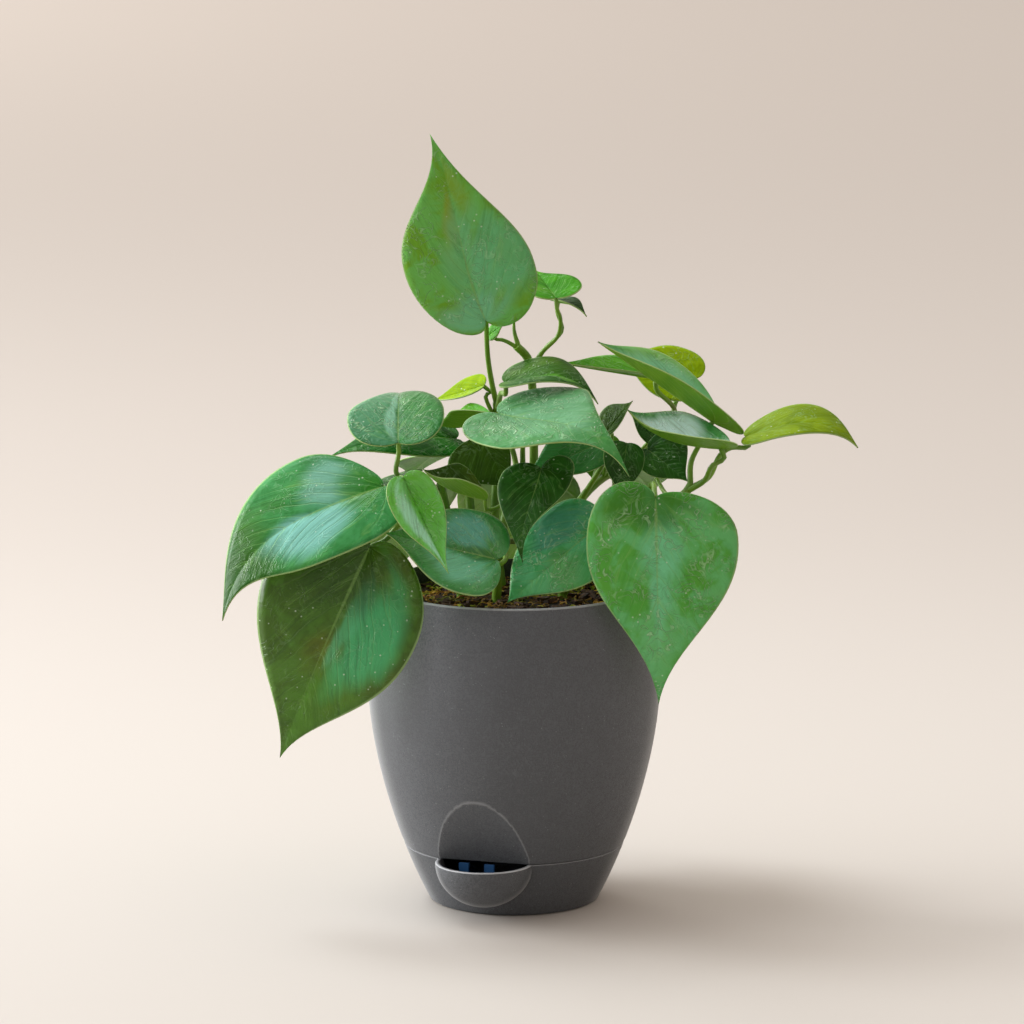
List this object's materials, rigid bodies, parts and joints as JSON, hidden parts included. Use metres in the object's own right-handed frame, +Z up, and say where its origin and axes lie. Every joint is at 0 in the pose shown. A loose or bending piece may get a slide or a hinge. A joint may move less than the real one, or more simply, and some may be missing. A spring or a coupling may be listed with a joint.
{
  "type": "potted heartleaf philodendron",
  "caption": "Bushy potted houseplant with glossy heart-shaped leaves on thin stems, in a rounded self-watering pot with a water cup at the front.",
  "frame": {"origin": "centre of the flat underside that the pot stands on", "axes": "+Z up along the pot's axis; the filling cup faces towards -Y, turned a little to -X"},
  "size_m": [0.2865, 0.1802, 0.3531],
  "materials": {
    "pot": "matte",
    "saucer": "matte",
    "insert": "satin",
    "soil": "matte",
    "stem": "satin",
    "leaf_deep": "gloss",
    "leaf_teal": "gloss",
    "leaf_lime": "satin",
    "leaf_bright": "satin",
    "leaf_olive": "satin",
    "leaf_dark": "satin"
  },
  "bodies": {
    "root": {"reservoir_saucer": "saucer", "water_insert": "insert", "pot_body": "pot", "soil": "soil", "vine_crown": "stem", "vine_side": "stem", "vine_left": "stem", "vine_front": "stem", "vine_far_left": "stem", "vine_right": "stem", "vine_right_back": "stem", "vine_back_left": "stem", "vine_back_middle": "stem", "vine_back_right": "stem", "leaf_crown": "leaf_deep", "leaf_left_lime": "leaf_lime", "leaf_mid_left": "leaf_bright", "leaf_upper_mid": "leaf_deep", "leaf_crown_side": "leaf_bright", "leaf_crown_young": "leaf_dark", "leaf_young_roll": "leaf_bright", "leaf_left_round": "leaf_teal", "leaf_left_big": "leaf_teal", "leaf_low_left_big": "leaf_deep", "leaf_small_folded": "leaf_deep", "leaf_behind_left": "leaf_dark", "leaf_center": "leaf_teal", "leaf_dark_heart": "leaf_dark", "leaf_low_mid_left": "leaf_teal", "leaf_low_center": "leaf_deep", "leaf_centre_olive": "leaf_olive", "leaf_left_under": "leaf_dark", "leaf_back_olive": "leaf_olive", "leaf_right_heart": "leaf_teal", "leaf_upper_right": "leaf_bright", "leaf_right_lime": "leaf_lime", "leaf_right_glossy": "leaf_teal", "leaf_right_under": "leaf_dark", "leaf_back_lime": "leaf_lime", "leaf_long_left": "leaf_bright", "leaf_mid_stripe": "leaf_teal", "leaf_backlit": "leaf_bright", "leaf_right_small": "leaf_olive", "leaf_mid_right": "leaf_dark", "leaf_dark_right": "leaf_dark", "leaf_back_low_left": "leaf_deep", "leaf_back_mid_left": "leaf_teal", "leaf_back_far_left": "leaf_deep", "leaf_back_low_middle": "leaf_teal", "leaf_back_high": "leaf_deep", "leaf_back_low_right": "leaf_deep", "leaf_back_mid_right": "leaf_dark", "leaf_back_far_right": "leaf_teal"}
  },
  "joints": []
}
